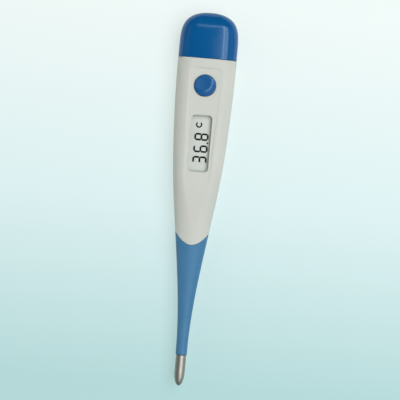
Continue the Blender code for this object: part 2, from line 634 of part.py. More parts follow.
bm = bmesh.new()
bmesh.ops.create_uvsphere(bm, u_segments=12, v_segments=8, radius=0.45 * MM)
bmesh.ops.translate(bm, vec=Vector((along(1.8), 0.0, MID_Z)) * MM, verts=bm.verts)
finish(object_of("thermistor", bm), EPOXY)
potting = turned("tip_potting", [(0.0, -3.3), (1.25, -3.3), (1.38, -4.2), (1.38, -8.4), (0.0, -8.4)], 20, tip_place)
wire_hole_a = box("cut_potting_a", (2.0, 10.0), (0.12, 0.68), (MID_Z - 0.28, MID_Z + 0.28), CUTTERS)
wire_hole_b = box("cut_potting_b", (2.0, 10.0), (-0.68, -0.12), (MID_Z - 0.28, MID_Z + 0.28), CUTTERS)
combine(potting, wire_hole_a, "DIFFERENCE")
combine(potting, wire_hole_b, "DIFFERENCE")
finish(potting, EPOXY_AMBER)

# ---------------------------------------------------------------- two leads through the stem to the board
for name, side in (("lead_wire_a", 1.0), ("lead_wire_b", -1.0)):
    route = [(2.65, 0.40 * side, MID_Z), (60.0, 0.40 * side, MID_Z), (66.0, 0.8 * side, MID_Z - 0.1),
             (72.0, 1.8 * side, MID_Z - 0.2), (76.6, 2.4 * side, MID_Z - 0.2)]
    lead = wire(name, route, 0.15)
    lead.data.bevel_resolution = 1
    lead.data.materials.append(COPPER_ENAMEL)
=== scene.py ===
"""Looks of the digital thermometer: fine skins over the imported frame, light, floor and camera.

Lengths are in millimetres until a mesh is made. A station is a distance from the probe's end along the body.
"""
import math

import bmesh
import bpy
import numpy as np
from mathutils import Matrix, Vector


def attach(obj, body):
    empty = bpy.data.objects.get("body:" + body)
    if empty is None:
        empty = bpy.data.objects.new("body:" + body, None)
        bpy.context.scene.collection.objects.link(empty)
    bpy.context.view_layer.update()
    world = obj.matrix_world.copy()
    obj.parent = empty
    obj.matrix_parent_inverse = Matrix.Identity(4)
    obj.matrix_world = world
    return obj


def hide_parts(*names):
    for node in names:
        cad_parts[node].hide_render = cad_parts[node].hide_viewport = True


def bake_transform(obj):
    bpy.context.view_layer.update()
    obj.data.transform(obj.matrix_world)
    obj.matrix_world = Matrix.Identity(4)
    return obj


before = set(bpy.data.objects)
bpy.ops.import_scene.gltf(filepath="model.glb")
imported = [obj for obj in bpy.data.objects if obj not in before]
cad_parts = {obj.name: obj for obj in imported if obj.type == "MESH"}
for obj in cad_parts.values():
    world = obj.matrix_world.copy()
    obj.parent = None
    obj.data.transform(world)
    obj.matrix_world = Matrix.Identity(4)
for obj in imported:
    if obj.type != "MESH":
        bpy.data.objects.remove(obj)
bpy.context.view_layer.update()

MM = 0.001
LENGTH = 127.0
MID_Z = 5.6                      # height of the long axis above the back
SEAM = 111.2                     # where the battery cover meets the housing
COVER_ROUND = 111.0              # where the cover's outline starts to close, seen from the front
COVER_NOSE = 117.0               # where it starts to close, seen from the side
PLAN_POWER, PLAN_ROOT = 5.0, 0.465
NOSE_POWER, NOSE_ROOT = 2.5, 1 / 2.2
WALL = 1.1
EDGE = 0.22                      # rounding of the moulded edges

# (station, half size) of the body, and of the flats on its faces
WIDTHS = ((10.5, 1.92), (15.0, 1.96), (20.0, 2.15), (30.0, 2.92), (40.0, 4.07), (50.0, 5.42), (60.0, 6.80),
          (70.0, 8.05), (80.0, 8.90), (90.0, 9.45), (100.0, 9.83), (108.0, 9.95), (127.0, 9.95))
HEIGHTS = ((10.5, 1.90), (15.0, 1.95), (25.0, 2.20), (35.0, 2.60), (45.0, 3.20), (55.0, 4.05), (65.0, 5.20),
           (71.0, 5.6), (127.0, 5.6))
FLATS = ((10.5, 0.06), (50.0, 0.10), (58.0, 1.00), (66.0, 3.20), (72.0, 4.40), (80.0, 4.75), (127.0, 4.90))
SIDE_FLATS = ((10.5, 0.05), (50.0, 0.10), (72.0, 0.80), (127.0, 0.80))
CROWN, CROWN_HALF = 0.12, 4.9    # how far the broad faces fall away, and at what distance from the middle
CROWN_START, CROWN_FULL = 60.0, 88.0

TONGUE_MID = 48.0                # the line where stem and housing meet: middle, rise and half width
TONGUE_RISE = 4.4
TONGUE_HALF = 5.9
SNOUT_END = 43.0                 # the housing's narrow end inside the stem
SNOUT_STEP = 1.15
STEM_WALL = 1.0
WIRE_BORE = 1.0
CAVITY_FRONT = 57.5
PANEL_Z = 10.95
PANEL_DEPTH = 0.30
WINDOW_FROM, WINDOW_TO = 72.9, 92.0
WINDOW_HALF_WIDE = 3.4
WINDOW_CORNER = 1.3
BUTTON_AT = 102.0
BUTTON_RADIUS = 3.62
BUTTON_HOLE = 3.71
HINGES = (42.0, 37.5, 33.0, 28.5, 24.0, 19.5)
TIP_VISIBLE = 10.4


# ---------------------------------------------------------------- shape tools
def along(station):
    """X of a station."""
    return np.asarray(station, float) - LENGTH / 2.0


class Table:
    """Smooth monotone reading of (station, value) pairs."""

    def __init__(self, rows):
        self.x = np.array([row[0] for row in rows], float)
        self.y = np.array([row[1] for row in rows], float)
        slope = np.diff(self.y) / np.diff(self.x)
        inner = np.zeros(len(rows) - 2)
        steady = slope[:-1] * slope[1:] > 0
        inner[steady] = (2 * slope[:-1] * slope[1:])[steady] / (slope[:-1] + slope[1:])[steady]
        self.m = np.concatenate(([slope[0]], inner, [slope[-1]]))

    def __call__(self, station):
        s = np.clip(np.asarray(station, float), self.x[0], self.x[-1])
        i = np.clip(np.searchsorted(self.x, s, side="right") - 1, 0, len(self.x) - 2)
        step = self.x[i + 1] - self.x[i]
        t = (s - self.x[i]) / step
        from_low = (2 * t ** 3 - 3 * t ** 2 + 1) * self.y[i] + (t ** 3 - 2 * t ** 2 + t) * step * self.m[i]
        return from_low + (3 * t ** 2 - 2 * t ** 3) * self.y[i + 1] + (t ** 3 - t ** 2) * step * self.m[i + 1]


width_at, height_at = Table(WIDTHS), Table(HEIGHTS)
flat_at, side_at = Table(FLATS), Table(SIDE_FLATS)


def smoothstep(low, high, value):
    t = np.clip((value - low) / (high - low), 0, 1)
    return t * t * (3 - 2 * t)


def around(corner, front, back, side):
    """Points round a section, as shares of the two flats and a corner angle. The arguments are counts."""
    rows = []
    spans = ((1, 1), (-1, 1), (-1, -1), (1, -1))
    flats = (front, side, back, side)
    for q, (a, b) in enumerate(spans):
        for k in range(corner + 1):
            rows.append((a, b, (q + k / corner) * math.pi / 2))
        a2, b2 = spans[(q + 1) % 4]
        for k in range(1, flats[q]):
            t = k / flats[q]
            rows.append((a + (a2 - a) * t, b + (b2 - b) * t, (q + 1) * math.pi / 2))
    return np.array(rows).T


def sizes(station, inset):
    """Half width, half height and half flats of the body at a station."""
    s = np.asarray(station, float)
    wide, thick = width_at(s) - inset, height_at(s) - inset
    flat, side = flat_at(s), side_at(s)
    u = np.clip((s - COVER_ROUND) / (LENGTH - inset - COVER_ROUND), 0, 1)
    shrink = (1 - u ** PLAN_POWER) ** PLAN_ROOT
    wide, flat = wide * shrink, flat * shrink
    u = np.clip((s - COVER_NOSE) / (LENGTH - inset - COVER_NOSE), 0, 1)
    shrink = (1 - u ** NOSE_POWER) ** NOSE_ROOT
    return wide, thick * shrink, flat, side * shrink


def section(station, around_rows, inset=0.0):
    """Ring of points (x, y, z); station is a number or one for each point."""
    a, b, angle = around_rows
    s = np.broadcast_to(np.asarray(station, float), a.shape)
    wide, thick, flat, side = sizes(s, inset)
    y = a * flat + (wide - flat) * np.cos(angle)
    z = b * side + (thick - side) * np.sin(angle)
    crown = CROWN * smoothstep(CROWN_START, CROWN_FULL, s) * (y / CROWN_HALF) ** 2
    return np.stack((along(s), y, MID_Z + z * (1 - crown / MID_Z)), axis=1)


def circle(station, count, radius):
    angle = (np.arange(count) + 0.5) * 2 * math.pi / count
    s = np.broadcast_to(np.asarray(station, float), angle.shape)
    return np.stack((along(s), radius * np.cos(angle), MID_Z + radius * np.sin(angle)), axis=1)


def tongue_line(around_rows):
    """Station, for each point round the section, of the line where stem and housing meet."""
    station = np.full(around_rows.shape[1], TONGUE_MID)
    for _ in range(8):
        y = section(station, around_rows)[:, 1]
        station = TONGUE_MID + TONGUE_RISE * (y / TONGUE_HALF) ** 2
    return station


def quarter(steps):
    """Shares (of the height, of the depth) of a quarter-round edge, from its start to its end."""
    angles = [k / steps * math.pi / 2 for k in range(steps + 1)]
    return [(math.sin(angle), 1 - math.cos(angle)) for angle in angles]


def fillet(station, radius, steps, toward=1.0):
    """(station, inset) pairs that roll an edge over, from the skin to the end face."""
    return [(station - toward * radius * (1 - rise), radius * turn) for rise, turn in quarter(steps)]


def link(ob):
    bpy.context.scene.collection.objects.link(ob)
    return ob


def mesh_object(name, verts, faces, mat, sharp=40.0, smooth=True):
    mesh = bpy.data.meshes.new(name)
    mesh.from_pydata([tuple(v) for v in np.asarray(verts, float) * MM], [], faces)
    bm = bmesh.new()
    bm.from_mesh(mesh)
    bmesh.ops.recalc_face_normals(bm, faces=bm.faces)
    bm.to_mesh(mesh)
    bm.free()
    mesh.materials.append(mat)
    if smooth:
        mesh.shade_smooth()
        mesh.set_sharp_from_angle(angle=math.radians(sharp))
    return link(bpy.data.objects.new(name, mesh))


def band(faces, first, second, count):
    """Faces between two rings of a count of vertices."""
    for i in range(count):
        j = (i + 1) % count
        faces.append((first + i, first + j, second + j, second + i))


def loft(name, rings, mat, closed=False, sharp=40.0):
    """Skin over rings of equal count. An open run is closed by a fan at each end."""
    count = len(rings[0])
    verts = list(np.concatenate(rings))
    faces = []
    for row in range(len(rings) - 1):
        band(faces, row * count, (row + 1) * count, count)
    if closed:
        band(faces, (len(rings) - 1) * count, 0, count)
        return mesh_object(name, verts, faces, mat, sharp)
    for row in (0, len(rings) - 1):
        middle = len(verts)
        verts.append(np.mean(rings[row], axis=0))
        for i in range(count):
            faces.append((row * count + i, row * count + (i + 1) % count, middle))
    return mesh_object(name, verts, faces, mat, sharp)


def spin(name, profile, steps, mat, centre=(0, 0, 0), axis="Z", sharp=35.0):
    """Turn a (radius, height) profile; points on the axis become one vertex. Axis X points heights to -X."""
    verts, rows = [], []
    for r, h in profile:
        if r < 1e-6:
            rows.append([len(verts)])
            verts.append((0.0, 0.0, h))
            continue
        rows.append(list(range(len(verts), len(verts) + steps)))
        for i in range(steps):
            angle = 2 * math.pi * i / steps
            verts.append((r * math.cos(angle), r * math.sin(angle), h))
    faces = []
    for a, b in zip(rows, rows[1:]):
        for i in range(steps):
            j = (i + 1) % steps
            if len(a) == 1:
                faces.append((a[0], b[i], b[j]))
            elif len(b) == 1:
                faces.append((a[i], a[j], b[0]))
            else:
                faces.append((a[i], a[j], b[j], b[i]))
    verts = np.array(verts, float)
    if axis == "X":
        verts = np.stack((-verts[:, 2], verts[:, 1], verts[:, 0]), axis=1)
    return mesh_object(name, verts + np.array(centre, float), faces, mat, sharp)


def rounded(half_x, half_y, radius, steps=10):
    """Rectangle outline with round corners about the origin."""
    points = []
    for q, (a, b) in enumerate(((1, 1), (-1, 1), (-1, -1), (1, -1))):
        for k in range(steps + 1):
            angle = (q + k / steps) * math.pi / 2
            points.append((a * (half_x - radius) + radius * math.cos(angle),
                           b * (half_y - radius) + radius * math.sin(angle)))
    return np.array(points)


def stacked(name, layers, centre, mat, radius, steps=10, sharp=35.0):
    """Closed solid from rounded rectangles: layers of (half_x, half_y, z), and the first layer's radius."""
    rings = []
    for half_x, half_y, z in layers:
        shape = rounded(half_x, half_y, max(radius + half_x - layers[0][0], 0.05), steps)
        rings.append(np.column_stack((shape + np.array(centre), np.full(len(shape), z))))
    return loft(name, rings, mat, sharp=sharp)


def cut(ob, tool):
    """Take the tool away from the object, and remove it."""
    mod = ob.modifiers.new("cut", "BOOLEAN")
    mod.operation = "DIFFERENCE"
    mod.solver = "EXACT"
    mod.object = tool
    bpy.context.view_layer.update()
    depsgraph = bpy.context.evaluated_depsgraph_get()
    mesh = bpy.data.meshes.new_from_object(ob.evaluated_get(depsgraph))
    ob.modifiers.clear()
    ob.data = mesh
    bpy.data.objects.remove(tool, do_unlink=True)


def place(ob, body, replaced=()):
    """Let a skin ride a body, in place of CAD pieces."""
    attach(ob, body)
    if replaced:
        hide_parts(*replaced)


# ---------------------------------------------------------------- materials
class Recipe:
    """Small builder for node materials on Principled. Sockets are named with _ for a space."""

    def __init__(self, name, **sockets):
        self.mat = bpy.data.materials.new(name)
        self.mat.use_nodes = True
        self.nodes = self.mat.node_tree.nodes
        self.links = self.mat.node_tree.links
        self.shader = self.nodes["Principled BSDF"]
        self.coords = self.nodes.new("ShaderNodeTexCoord").outputs["Object"]
        for key, value in sockets.items():
            socket = self.shader.inputs[key.replace("_", " ")]
            socket.default_value = (*value, 1.0) if isinstance(value, tuple) else value

    def noise(self, scale, detail):
        node = self.nodes.new("ShaderNodeTexNoise")
        node.inputs["Scale"].default_value = scale
        node.inputs["Detail"].default_value = detail
        self.links.new(self.coords, node.inputs["Vector"])
        return node.outputs["Fac"]

    def ramp(self, value, low, high, start, end):
        node = self.nodes.new("ShaderNodeValToRGB")
        node.color_ramp.elements[0].position = start
        node.color_ramp.elements[1].position = end
        node.color_ramp.elements[0].color = (*low, 1.0)
        node.color_ramp.elements[1].color = (*high, 1.0)
        self.links.new(value, node.inputs["Fac"])
        return node.outputs["Color"]

    def colour(self, value, low, high, start=0.35, end=0.65):
        self.links.new(self.ramp(value, low, high, start, end), self.shader.inputs["Base Color"])

    def roughness(self, value, low, high):
        node = self.nodes.new("ShaderNodeMapRange")
        node.inputs["From Min"].default_value = 0.3
        node.inputs["From Max"].default_value = 0.7
        node.inputs["To Min"].default_value = low
        node.inputs["To Max"].default_value = high
        self.links.new(value, node.inputs["Value"])
        self.links.new(node.outputs["Result"], self.shader.inputs["Roughness"])

    def bump(self, value, strength, distance):
        node = self.nodes.new("ShaderNodeBump")
        node.inputs["Strength"].default_value = strength
        node.inputs["Distance"].default_value = distance
        self.links.new(value, node.inputs["Height"])
        self.links.new(node.outputs["Normal"], self.shader.inputs["Normal"])


def shade(colour, factor):
    return tuple(channel * factor for channel in colour)


def plastic(name, colour, rough, spread=0.05, grain=4000.0, depth=0.000004, strength=0.3, mottle=0.03,
            **sockets):
    """Moulded surface: a faint mottle, uneven gloss and a fine grain."""
    made = Recipe(name, **sockets)
    made.colour(made.noise(120.0, 4.0), shade(colour, 1 - mottle), shade(colour, 1 + mottle))
    made.roughness(made.noise(260.0, 5.0), rough - spread, rough + spread)
    made.bump(made.noise(grain, 2.0), strength, depth)
    return made.mat


def metal(name, colour, rough, spread=0.06, strength=0.15):
    made = Recipe(name, Metallic=1.0)
    made.colour(made.noise(700.0, 4.0), shade(colour, 1 - spread / 2), shade(colour, 1 + spread / 2))
    made.roughness(made.noise(1800.0, 5.0), rough * (1 - spread), rough * (1 + spread))
    made.bump(made.noise(5200.0, 2.0), strength, 0.000001)
    return made.mat


def lens_material():
    made = Recipe("lens_clear", Base_Color=(0.12, 0.13, 0.12), Alpha=0.03, IOR=1.49)
    made.roughness(made.noise(500.0, 4.0), 0.03, 0.07)
    made.bump(made.noise(600.0, 2.0), 0.05, 0.000002)
    return made.mat


def lcd_material():
    """Reflective display: pale grey-green with the fine grain of the rear film."""
    made = Recipe("lcd_ground", Specular_IOR_Level=0.3)
    made.colour(made.noise(5200.0, 2.0), (0.68, 0.68, 0.61), (0.82, 0.82, 0.74), 0.3, 0.7)
    made.roughness(made.noise(2200.0, 3.0), 0.30, 0.42)
    made.bump(made.noise(5200.0, 2.0), 0.3, 0.000003)
    return made.mat


WHITE = plastic("white_shell", (0.645, 0.63, 0.56), 0.52, 0.05, 5200.0, 0.000003, 0.25, 0.012,
                Specular_IOR_Level=0.32, Subsurface_Weight=0.06, Subsurface_Scale=0.0006)
BLUE_GLOSS_TINT = (0.72, 0.87, 1.0)
COVER_BLUE = plastic("cover_gloss_blue", (0.0010, 0.092, 0.272), 0.135, 0.025, 900.0, 0.000002, 0.12, 0.03,
                     Specular_IOR_Level=0.5, Specular_Tint=BLUE_GLOSS_TINT)
BUTTON_BLUE = plastic("button_blue", (0.003, 0.090, 0.262), 0.22, 0.04, 3000.0, 0.000002, 0.2, 0.03,
                      Specular_IOR_Level=0.5, Specular_Tint=BLUE_GLOSS_TINT)
STEM_BLUE = plastic("stem_elastomer", (0.058, 0.199, 0.362), 0.52, 0.05, 3600.0, 0.000006, 0.35, 0.025,
                    Specular_IOR_Level=0.35, Sheen_Weight=0.12, Sheen_Roughness=0.5, Subsurface_Weight=0.08,
                    Subsurface_Scale=0.0006)
CHASSIS = plastic("chassis_abs", (0.40, 0.41, 0.40), 0.5, grain=4200.0)
BLACK = plastic("black_moulding", (0.018, 0.018, 0.019), 0.42, 0.06, 4200.0, mottle=0.1)
RUBBER = plastic("silicone_grey", (0.26, 0.27, 0.26), 0.6, 0.06, 3800.0, 0.000005, mottle=0.05)
EPOXY = plastic("epoxy_black", (0.01, 0.01, 0.011), 0.3, 0.08, 900.0, 0.00001, 0.4, 0.1)
AMBER = plastic("epoxy_amber", (0.28, 0.14, 0.03), 0.2, 0.05, 900.0, 0.00001, mottle=0.12, Coat_Weight=0.4)
CERAMIC_TAN = plastic("ceramic_tan", (0.36, 0.23, 0.12), 0.45, 0.05, 5200.0, 0.000003, mottle=0.06)
CERAMIC_WHITE = plastic("ceramic_white", (0.62, 0.60, 0.55), 0.5, 0.05, 5200.0, 0.000003, mottle=0.04)
BOARD_GREEN = plastic("board_resist", (0.012, 0.11, 0.045), 0.35, 0.06, 2600.0, mottle=0.12, Coat_Weight=0.3,
                      Coat_Roughness=0.2)
WIRE_ENAMEL = plastic("wire_enamel", (0.32, 0.09, 0.02), 0.3, 0.05, 3000.0, 0.000003, 0.2, 0.12, Metallic=0.6)
GLASS = plastic("lcd_glass", (0.50, 0.54, 0.49), 0.10, 0.03, 900.0, 0.000001, 0.1, 0.03)
INK = plastic("lcd_segment", (0.002, 0.002, 0.002), 0.5, 0.05, 4000.0, 0.000002, 0.2, 0.2,
              Specular_IOR_Level=0.2)
GHOST = plastic("lcd_segment_off", (0.735, 0.735, 0.66), 0.4, 0.05, 4000.0, 0.000002, 0.2, 0.02)
STEEL = metal("probe_steel", (0.44, 0.41, 0.35), 0.51, spread=0.03, strength=0.1)
NICKEL = metal("nickel_plate", (0.60, 0.59, 0.56), 0.26)
BRASS = metal("phosphor_bronze", (0.60, 0.40, 0.17), 0.28)
FOIL = metal("reflector_foil", (0.62, 0.63, 0.60), 0.35)
LENS = lens_material()
LCD = lcd_material()


# ---------------------------------------------------------------- housing
WINDOW_CENTRE = ((WINDOW_FROM + WINDOW_TO) / 2 - LENGTH / 2, 0.0)
WINDOW_HALF = ((WINDOW_TO - WINDOW_FROM) / 2, WINDOW_HALF_WIDE)
BUTTON_CENTRE = (along(BUTTON_AT), 0, 0)
TOOL_BOTTOM, TOOL_TOP = 8.0, 13.0    # how far down and up the window and button cuts reach


def panel_distance(station, y):
    """Signed distance from the edge of the recessed front panel, below 0 inside it."""
    half = 4.35 + (5.55 - 4.35) * smoothstep(72.0, 107.0, station)
    corner = 1.9
    qx = station - (108.0 - corner)
    qy = np.abs(y) - (half - corner)
    outside = np.hypot(np.maximum(qx, 0), np.maximum(qy, 0))
    return np.minimum(np.maximum(qx, qy), 0) + outside - corner


def recess_panel(ring):
    """Lower the front of a ring inside the panel's edge."""
    s = ring[:, 0] + LENGTH / 2
    front = ring[:, 2] > MID_Z + 1.0
    inside = 1 - smoothstep(-0.34, 0.26, panel_distance(s, ring[:, 1]))
    floor_z = MID_Z + height_at(s) - PANEL_DEPTH * smoothstep(62.0, 81.0, s)
    lowered = np.minimum(ring[:, 2], floor_z)
    ring[:, 2] = np.where(front, ring[:, 2] + (lowered - ring[:, 2]) * inside, ring[:, 2])


def housing_rings():
    """The outer skin from the seam to the tongue line, then the snout and the cavity back to the seam."""
    fine = around(22, 84, 16, 6)
    count = fine.shape[1]
    tongue = tongue_line(fine)
    straight_from, tongue_steps = 57.5, 34
    outer = [section(s, fine, inset) for s, inset in reversed(fillet(SEAM, EDGE, 6))]
    outer += [section(s, fine) for s in np.arange(SEAM - EDGE - 0.2, straight_from + 0.1, -0.22)]
    for k in range(tongue_steps):
        share = k / tongue_steps
        outer.append(section(straight_from + (tongue + EDGE - straight_from) * share, fine))
    outer += [section(tongue + s, fine, inset) for s, inset in fillet(0.0, EDGE, 5, toward=-1.0)]
    for ring in outer:
        recess_panel(ring)
    inner = [section(s, fine, SNOUT_STEP) for s in (tongue, tongue * 0.45 + SNOUT_END * 0.55, SNOUT_END)]
    inner += [circle(s, count, WIRE_BORE) for s in (SNOUT_END, CAVITY_FRONT)]
    cavity = (CAVITY_FRONT, 60.5, 64.0, 68.0, 72.0, 78.0, 84.0, 91.0, 98.0, 105.0, SEAM - 0.25)
    inner += [section(s, fine, WALL) for s in cavity]
    inner.append(section(SEAM, fine, WALL - 0.2))
    return outer + inner


def window_tool():
    layers = [(*WINDOW_HALF, TOOL_BOTTOM)]
    for rise, turn in quarter(6):
        out = EDGE * turn
        layers.append((WINDOW_HALF[0] + out, WINDOW_HALF[1] + out, PANEL_Z - EDGE + EDGE * rise))
    layers.append((WINDOW_HALF[0] + EDGE, WINDOW_HALF[1] + EDGE, TOOL_TOP))
    return stacked("tool_window", layers, WINDOW_CENTRE, WHITE, WINDOW_CORNER)


def button_tool():
    profile = [(0.0, TOOL_BOTTOM), (BUTTON_HOLE, TOOL_BOTTOM)]
    profile += [(BUTTON_HOLE + EDGE * turn, PANEL_Z - EDGE + EDGE * rise) for rise, turn in quarter(6)]
    profile += [(BUTTON_HOLE + EDGE, TOOL_TOP), (0.0, TOOL_TOP)]
    return spin("tool_button", profile, 96, WHITE, BUTTON_CENTRE)


def skin_housing():
    housing = loft("skin_housing", housing_rings(), WHITE, closed=True, sharp=50.0)
    cut(housing, window_tool())
    cut(housing, button_tool())
    place(housing, "housing", ["housing"])


# ---------------------------------------------------------------- window lens
def skin_lens():
    """A flange under the window's edge and a face that fills the window, with a small play."""
    flange, play, edge = 0.8, 0.12, 0.15
    flange_z, step_z, face_z = 9.55, 10.0, 10.60
    shoulder = (WINDOW_HALF[0] + flange, WINDOW_HALF[1] + flange)
    face = (WINDOW_HALF[0] - play, WINDOW_HALF[1] - play)
    layers = [(*shoulder, flange_z), (*shoulder, step_z), (*face, step_z), (*face, face_z)]
    for rise, turn in quarter(4)[1:]:
        layers.append((face[0] - edge * turn, face[1] - edge * turn, face_z + edge * rise))
    lens = stacked("skin_lens", layers, WINDOW_CENTRE, LENS, WINDOW_CORNER + 0.6)
    place(lens, "housing", ["window_lens"])


# ---------------------------------------------------------------- push button
DISH_X, DISH_Y, DISH_RADIUS = 1.05, 0.80, 2.95    # measured from the button's centre
DISH_STEP = 0.17
BUTTON_BASE_Z = 9.5
RIM_START = 3.30


def button_height(points):
    """A shallow disc, pushed towards one side, a step above the dome's rim."""
    r = np.hypot(points[:, 0], points[:, 1])
    beyond = np.hypot(points[:, 0] - DISH_X, points[:, 1] - DISH_Y) - DISH_RADIUS
    edge = np.clip((r - RIM_START) / (BUTTON_RADIUS - RIM_START), 0, 1)
    hollow = 0.04 * np.clip(-beyond / DISH_RADIUS, 0, 1)
    return 2.20 - hollow - DISH_STEP * smoothstep(-0.10, 0.62, beyond) - 0.28 * (1 - np.sqrt(1 - edge ** 2))


def skin_button():
    count = 128
    angles = 2 * math.pi * np.arange(count) / count
    turn = np.column_stack((np.cos(angles), np.sin(angles), np.zeros(count)))
    radii = np.concatenate((np.linspace(0.0, RIM_START, 50)[1:],
                            [3.36, 3.42, 3.47, 3.52, 3.56, 3.59, 3.61, BUTTON_RADIUS]))
    top = np.concatenate([np.zeros((1, 3))] + [r * turn for r in radii])
    top[:, 2] = BUTTON_BASE_Z + button_height(top)
    verts = list(top)
    skirt = ((BUTTON_RADIUS, 10.1), (BUTTON_RADIUS, 10.0), (4.2, 10.0), (4.25, 9.95), (4.25, 9.55),
             (4.2, BUTTON_BASE_Z))
    for r, z in skirt:
        verts += list(r * turn + np.array([0.0, 0.0, z]))
    middle = len(verts)
    verts.append(np.array([0.0, 0.0, BUTTON_BASE_Z]))
    faces = []
    for i in range(count):
        faces.append((0, 1 + i, 1 + (i + 1) % count))
    for k in range(len(radii) + len(skirt) - 1):
        band(faces, 1 + k * count, 1 + (k + 1) * count, count)
    last = middle - count
    for i in range(count):
        faces.append((last + i, middle, last + (i + 1) % count))
    button = mesh_object("skin_button", np.array(verts) + np.array(BUTTON_CENTRE), faces, BUTTON_BLUE)
    place(button, "button", ["button"])


# ---------------------------------------------------------------- battery cover
def skin_cover():
    """The cap from its nose to the seam, then its skirt inside the housing, then its hollow."""
    cover_round = around(24, 40, 20, 6)
    start = SEAM + 0.06
    last_station = start + EDGE
    nose = []
    for k in range(64):
        angle = math.radians(88.5) * (1 - k / 64)
        nose.append(COVER_ROUND + (LENGTH - COVER_ROUND) * math.sin(angle) ** 0.8)
    stations = [s for s in nose if s > last_station + 0.05]
    stations += list(np.arange(stations[-1] - 0.5, last_station, -0.6))
    rings = [section(s, cover_round) for s in stations]
    rings += [section(s, cover_round, inset) for s, inset in fillet(start, EDGE, 6, toward=-1.0)]
    skirt = WALL + 0.15
    groove = skirt + 0.45
    hollow = skirt + 0.9
    for s, inset in ((start, skirt), (109.6, skirt), (109.6, groove), (108.4, groove), (108.4, skirt),
                     (107.0, skirt), (106.8, skirt + 0.2), (106.8, hollow), (SEAM, hollow)):
        rings.append(section(s, cover_round, inset))
    for s in (113.0, 116.0, 118.0, 120.0, 121.7, 123.3, 124.5, 125.3):
        rings.append(section(s, cover_round, WALL))
    cover = loft("skin_cover", rings, COVER_BLUE, sharp=50.0)
    place(cover, "battery_cover", ["battery_cover"])


def skin_seal():
    """Ring in the groove of the cover's skirt."""
    seal_round = around(10, 8, 8, 2)
    rings = []
    for k in range(16):
        angle = k / 16 * 2 * math.pi
        inset = WALL + 0.32 + 0.25 * math.sin(angle)
        rings.append(section(109.0 + 0.45 * math.cos(angle), seal_round, inset))
    seal = loft("skin_seal", rings, RUBBER, closed=True, sharp=80.0)
    place(seal, "battery_cover", ["cover_seal"])


# ---------------------------------------------------------------- soft stem
STEM_ROUND = around(22, 4, 4, 2)
STEM_COUNT = STEM_ROUND.shape[1]
BORE_END = SNOUT_END - 0.15      # the housing's snout sits in a wider bore behind this station
CUTS = [44.6] + [(a + b) / 2 for a, b in zip(HINGES, HINGES[1:])] + [17.0]


def stem_piece(name, outer, inner):
    """Tube from its outer rings and the rings of its bore, in order."""
    ob = loft(name, outer + inner, STEM_BLUE, closed=True, sharp=40.0)
    return ob


def bend_over_hinge(piece, number):
    """Bake a piece of the stem, or of the leads, for hinge 1 to 6 into world space; it is not bent over the
    hinge.
    """
    if number == len(HINGES):
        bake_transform(piece)
    else:
        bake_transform(piece)


def skin_stem_root():
    line = tongue_line(STEM_ROUND)
    gap, lip, steps = 0.05, 0.12, 24
    outer = [section(line - gap + s, STEM_ROUND, inset) for s, inset in reversed(fillet(0.0, lip, 3))]
    for k in range(1, steps + 1):
        share = k / steps
        outer.append(section((line - gap - lip) * (1 - share) + CUTS[0] * share, STEM_ROUND))
    inner = [section(s, STEM_ROUND, STEM_WALL) for s in (CUTS[0], CUTS[0] * 0.5 + line * 0.5, line - gap)]
    place(stem_piece("skin_stem_root", outer, inner), "housing", replaced=["stem_root"])


def skin_stem_bend(number):
    high, low = CUTS[number - 1], CUTS[number]
    outer = [section(s, STEM_ROUND) for s in np.linspace(high, low, 21)]
    if number == 1:
        inner = [circle(s, STEM_COUNT, WIRE_BORE) for s in np.linspace(low, BORE_END, 8)]
        inner += [section(s, STEM_ROUND, STEM_WALL) for s in (BORE_END, high)]
    else:
        inner = [circle(s, STEM_COUNT, WIRE_BORE) for s in np.linspace(low, high, 9)]
    piece = stem_piece("skin_stem_" + str(number), outer, inner)
    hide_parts("stem_link_" + str(number))
    bend_over_hinge(piece, number)


def skin_stem_end():
    """The straight last piece, bored wider where it holds the steel tip."""
    end, tip_bore, tip_end = 10.55, 1.52, 14.7
    outer = [section(s, STEM_ROUND) for s in np.linspace(CUTS[-1], 10.85, 24)]
    outer += [section(s, STEM_ROUND, inset) for s, inset in fillet(end, 0.22, 4, toward=-1.0)]
    inner = [circle(end, STEM_COUNT, tip_bore), circle(tip_end, STEM_COUNT, tip_bore),
             circle(tip_end, STEM_COUNT, WIRE_BORE), circle(CUTS[-1], STEM_COUNT, WIRE_BORE)]
    place(stem_piece("skin_stem_end", outer, inner), "stem_link_6")


# ---------------------------------------------------------------- steel tip
def skin_probe_tip():
    """Drawn cap: its nose and side, a rolled edge, the sleeve inside the stem, and its inner face."""
    radius, nose = 1.74, 4.6
    inner_radius, wall = 1.54, 0.3
    profile = [(radius * rise, -nose * turn) for rise, turn in quarter(32)]
    profile += [(radius, -h) for h in np.linspace(5.0, TIP_VISIBLE - 0.15, 12)]
    profile += [(1.71, -TIP_VISIBLE + 0.06), (1.64, -TIP_VISIBLE), (1.42, -TIP_VISIBLE - 0.1), (1.40, -14.5),
                (1.20, -14.5), (1.20, -TIP_VISIBLE - 0.2), (inner_radius, -TIP_VISIBLE + 0.3)]
    for rise, turn in reversed(quarter(12)):
        profile.append((inner_radius * rise, -wall - (nose - wall) * turn))
    tip = spin("skin_probe_tip", profile, 96, STEEL, (along(0.0), 0, MID_Z), "X", sharp=45.0)
    place(tip, "stem_link_6", ["probe_tip"])


